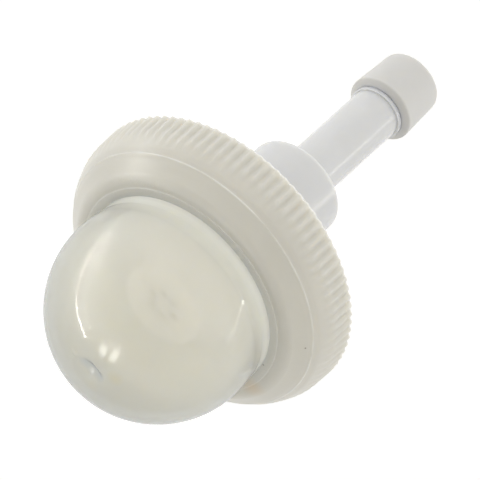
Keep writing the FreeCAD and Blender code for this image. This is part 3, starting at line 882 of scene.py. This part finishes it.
class PRIMERPUMP_OT_studio(bpy.types.Operator):
    """Set up the floor, the lights and the camera"""

    bl_idname = "primerpump.studio"
    bl_label = "Set up studio"

    def execute(self, context):
        studio = context.scene.primer_pump_studio
        context.scene.view_settings.view_transform = "Standard"
        self.world(studio)
        self.floor(studio)
        self.lights(studio)
        self.camera(studio)
        return {"FINISHED"}

    def seen_white(self, tree):
        """One where the camera, gloss or a see-through piece looks, nought for other light."""
        path = tree.nodes.new("ShaderNodeLightPath")
        seen = path.outputs["Is Camera Ray"]
        for other in ("Is Glossy Ray", "Is Transmission Ray"):
            either = tree.nodes.new("ShaderNodeMath")
            either.operation = "MAXIMUM"
            tree.links.new(seen, either.inputs[0])
            tree.links.new(path.outputs[other], either.inputs[1])
            seen = either.outputs[0]
        return seen

    def world(self, studio):
        """Even room light, and plain white where the camera sees past the pump."""
        world = bpy.data.worlds.new("studio_room")
        bpy.context.scene.world = world
        world.use_nodes = True
        tree = world.node_tree
        tree.nodes.clear()
        output = tree.nodes.new("ShaderNodeOutputWorld")
        mix = tree.nodes.new("ShaderNodeMixShader")
        height = tree.nodes.new("ShaderNodeSeparateXYZ")
        direction = tree.nodes.new("ShaderNodeTexCoord")
        tree.links.new(direction.outputs["Generated"], height.inputs["Vector"])
        levels = tree.nodes.new("ShaderNodeMapRange")
        levels.inputs["From Min"].default_value = 0.1
        levels.inputs["From Max"].default_value = 0.6
        levels.inputs["To Min"].default_value = studio.horizon_level
        levels.inputs["To Max"].default_value = studio.ceiling_level
        tree.links.new(height.outputs["Z"], levels.inputs["Value"])
        room = tree.nodes.new("ShaderNodeBackground")
        room.inputs["Color"].default_value = (1.0, 0.985, 0.95, 1.0)
        tree.links.new(levels.outputs["Result"], room.inputs["Strength"])
        white = tree.nodes.new("ShaderNodeBackground")
        white.inputs["Strength"].default_value = 1.0
        white.inputs["Color"].default_value = (1.0, 1.0, 1.0, 1.0)
        tree.links.new(self.seen_white(tree), mix.inputs["Fac"])
        tree.links.new(room.outputs["Background"], mix.inputs[1])
        tree.links.new(white.outputs["Background"], mix.inputs[2])
        tree.links.new(mix.outputs["Shader"], output.inputs["Surface"])

    def floor(self, studio):
        """Pale floor that can be seen through from below."""
        bm = bmesh.new()
        bmesh.ops.create_grid(bm, x_segments=1, y_segments=1, size=3.0)
        height = CAD_LOW.z - studio.floor_drop
        bmesh.ops.translate(bm, verts=bm.verts[:], vec=(0, 0, height))
        material = bpy.data.materials.new("pale_floor")
        material.use_nodes = True
        tree = material.node_tree
        tree.nodes.clear()
        output = tree.nodes.new("ShaderNodeOutputMaterial")
        both = tree.nodes.new("ShaderNodeAddShader")
        matt = tree.nodes.new("ShaderNodeBsdfDiffuse")
        matt.inputs["Color"].default_value = (0.9, 0.9, 0.9, 1.0)
        lit = tree.nodes.new("ShaderNodeEmission")
        lit.inputs["Strength"].default_value = studio.floor_glow
        tree.links.new(matt.outputs["BSDF"], both.inputs[0])
        tree.links.new(lit.outputs["Emission"], both.inputs[1])
        below = tree.nodes.new("ShaderNodeMixShader")
        clear = tree.nodes.new("ShaderNodeBsdfTransparent")
        side = tree.nodes.new("ShaderNodeNewGeometry")
        tree.links.new(side.outputs["Backfacing"], below.inputs["Fac"])
        tree.links.new(both.outputs["Shader"], below.inputs[1])
        tree.links.new(clear.outputs["BSDF"], below.inputs[2])
        tree.links.new(below.outputs["Shader"], output.inputs["Surface"])
        finish_mesh(bm, "floor", material)

    def lights(self, studio):
        """Two soft lamps, and small ones that only show as reflections."""
        self.lamp("window_light", WINDOW_PLACE, ROOM_LAMP_SIZE, studio.window_power, WINDOW_TINT)
        self.lamp("side_light", SIDE_PLACE, ROOM_LAMP_SIZE, SIDE_POWER, SIDE_TINT)
        self.row_of_diodes("upper_diode", UPPER_STRIP, UPPER_DIODES)
        self.row_of_diodes("lower_diode", LOWER_STRIP, LOWER_DIODES)
        start = STEM_GLEAM_MIDDLE - STEM_GLEAM_REACH
        end = STEM_GLEAM_MIDDLE + STEM_GLEAM_REACH
        self.gloss_lamp("stem_gleam", start, end, STEM_GLEAM_WIDTH, STEM_GLEAM_POWER)
        start, end = COLLAR_SHINE_ENDS
        shine = self.gloss_lamp(
            "collar_shine", start, end, COLLAR_SHINE_WIDTH, COLLAR_SHINE_POWER
        )
        shine.light_linking.receiver_collection = bpy.data.collections.new("shining_collar")
        shine.light_linking.receiver_collection.objects.link(bpy.data.objects["toothed_collar"])
        for gleam in BULB_GLEAMS:
            self.gleam(*gleam)

    def mirrored(self, pixel, distance):
        """Place from which a lamp is seen in the bulb at a pixel of the photograph."""
        studio = bpy.context.scene.primer_pump_studio
        bulb = sizes()[0]
        right, up, back = camera_axes(studio)
        eye = camera_place(studio)
        side = (pixel[0] - IMAGE_SIZE / 2) * pixel_size(studio)
        rise = (IMAGE_SIZE / 2 - pixel[1]) * pixel_size(studio)
        sight = right * side + up * rise - back * studio.distance
        middle = Vector((0, 0, bulb.neck_top + bulb.middle_rise))
        hit = intersect_line_sphere(eye, eye + sight, middle, bulb.radius)[1]
        away = sight.normalized().reflect((hit - middle).normalized())
        return hit + away * distance

    def row_of_diodes(self, name, ends, count):
        """Row of small square lamps that are mirrored in the bulb as a line of dots."""
        start, end = (self.mirrored(pixel, DIODE_DISTANCE) for pixel in ends)
        for i in range(count):
            near = start.lerp(end, (i - DIODE_HALF_LENGTH) / (count - 1))
            far = start.lerp(end, (i + DIODE_HALF_LENGTH) / (count - 1))
            self.gloss_lamp("%s_%d" % (name, i + 1), near, far, DIODE_WIDTH, DIODE_POWER)

    def gleam(self, name, ends, distance, width, power):
        """Lamp mirrored in the bulb between two pixels of the photograph."""
        start, end = (self.mirrored(pixel, distance) for pixel in ends)
        self.gloss_lamp(name, start, end, width, power)

    def gloss_lamp(self, name, start, end, width, power):
        """Flat lamp from one place to another that only shows as a reflection."""
        run = end - start
        data = bpy.data.lights.new(name, "AREA")
        data.shape = "RECTANGLE"
        data.size = run.length
        data.size_y = width
        data.energy = power
        data.color = GLOSS_TINT
        across = run.normalized()
        middle = (start + end) / 2
        away = (middle - across * middle.dot(across)).normalized()
        turn = Matrix((across, away.cross(across), away)).transposed().to_4x4()
        lamp = bpy.data.objects.new(name, data)
        bpy.context.scene.collection.objects.link(lamp)
        lamp.matrix_world = Matrix.Translation(middle) @ turn
        lamp.visible_camera = False
        lamp.visible_diffuse = False
        lamp.visible_transmission = False
        return lamp

    def lamp(self, name, place, size, power, tint):
        """Soft round lamp that points at the pump and doesn't show in its gloss."""
        data = bpy.data.lights.new(name, "AREA")
        data.shape = "DISK"
        data.size = size
        data.energy = power
        data.color = tint
        lamp = bpy.data.objects.new(name, data)
        bpy.context.scene.collection.objects.link(lamp)
        lamp.location = place
        lamp.rotation_mode = "QUATERNION"
        lamp.rotation_quaternion = Vector(place).to_track_quat("Z", "Y")
        lamp.visible_glossy = False
        lamp.visible_camera = False

    def camera(self, studio):
        """Camera that looks at the pump as the photograph does."""
        right, up, back = camera_axes(studio)
        data = bpy.data.cameras.new("camera")
        data.sensor_width = SENSOR_WIDTH
        data.lens = studio.lens
        data.clip_start = 0.01
        data.clip_end = 20.0
        camera = bpy.data.objects.new("camera", data)
        bpy.context.scene.collection.objects.link(camera)
        bpy.context.scene.camera = camera
        turn = Matrix((right, up, back)).transposed()
        camera.matrix_world = Matrix.Translation(camera_place(studio)) @ turn.to_4x4()


class PRIMERPUMP_PT_panel(bpy.types.Panel):
    """Sidebar panel with every step of the model"""

    bl_label = "Primer Pump"
    bl_idname = "PRIMERPUMP_PT_panel"
    bl_space_type = "VIEW_3D"
    bl_region_type = "UI"
    bl_category = "Primer Pump"

    def draw(self, context):
        for step in STEPS:
            self.layout.operator(step.bl_idname)
        for name in SETTINGS:
            group = getattr(context.scene, name)
            box = self.layout.box()
            for prop in group.bl_rna.properties:
                if prop.identifier not in {"name", "rna_type"}:
                    box.prop(group, prop.identifier)


STEPS = (
    PRIMERPUMP_OT_collar,
    PRIMERPUMP_OT_bulb,
    PRIMERPUMP_OT_body,
    PRIMERPUMP_OT_seal,
    PRIMERPUMP_OT_spring,
    PRIMERPUMP_OT_inner_parts,
    PRIMERPUMP_OT_studio,
)
SETTINGS = {
    "primer_pump_bulb": BulbSizes,
    "primer_pump_collar": CollarSizes,
    "primer_pump_spring": SpringSizes,
    "primer_pump_finishes": PumpFinishes,
    "primer_pump_studio": StudioSettings,
}


def register():
    for group in SETTINGS.values():
        bpy.utils.register_class(group)
    for name, group in SETTINGS.items():
        setattr(bpy.types.Scene, name, PointerProperty(type=group))
    for step in STEPS:
        bpy.utils.register_class(step)
    bpy.utils.register_class(PRIMERPUMP_PT_panel)


def unregister():
    bpy.utils.unregister_class(PRIMERPUMP_PT_panel)
    for step in reversed(STEPS):
        bpy.utils.unregister_class(step)
    for name in SETTINGS:
        delattr(bpy.types.Scene, name)
    for group in SETTINGS.values():
        bpy.utils.unregister_class(group)


def main():
    register()
    bpy.ops.primerpump.collar()
    bpy.ops.primerpump.bulb()
    bpy.ops.primerpump.body()
    bpy.ops.primerpump.seal()
    bpy.ops.primerpump.spring()
    bpy.ops.primerpump.inner_parts()
    bpy.ops.primerpump.studio()


if __name__ == "__main__":
    main()
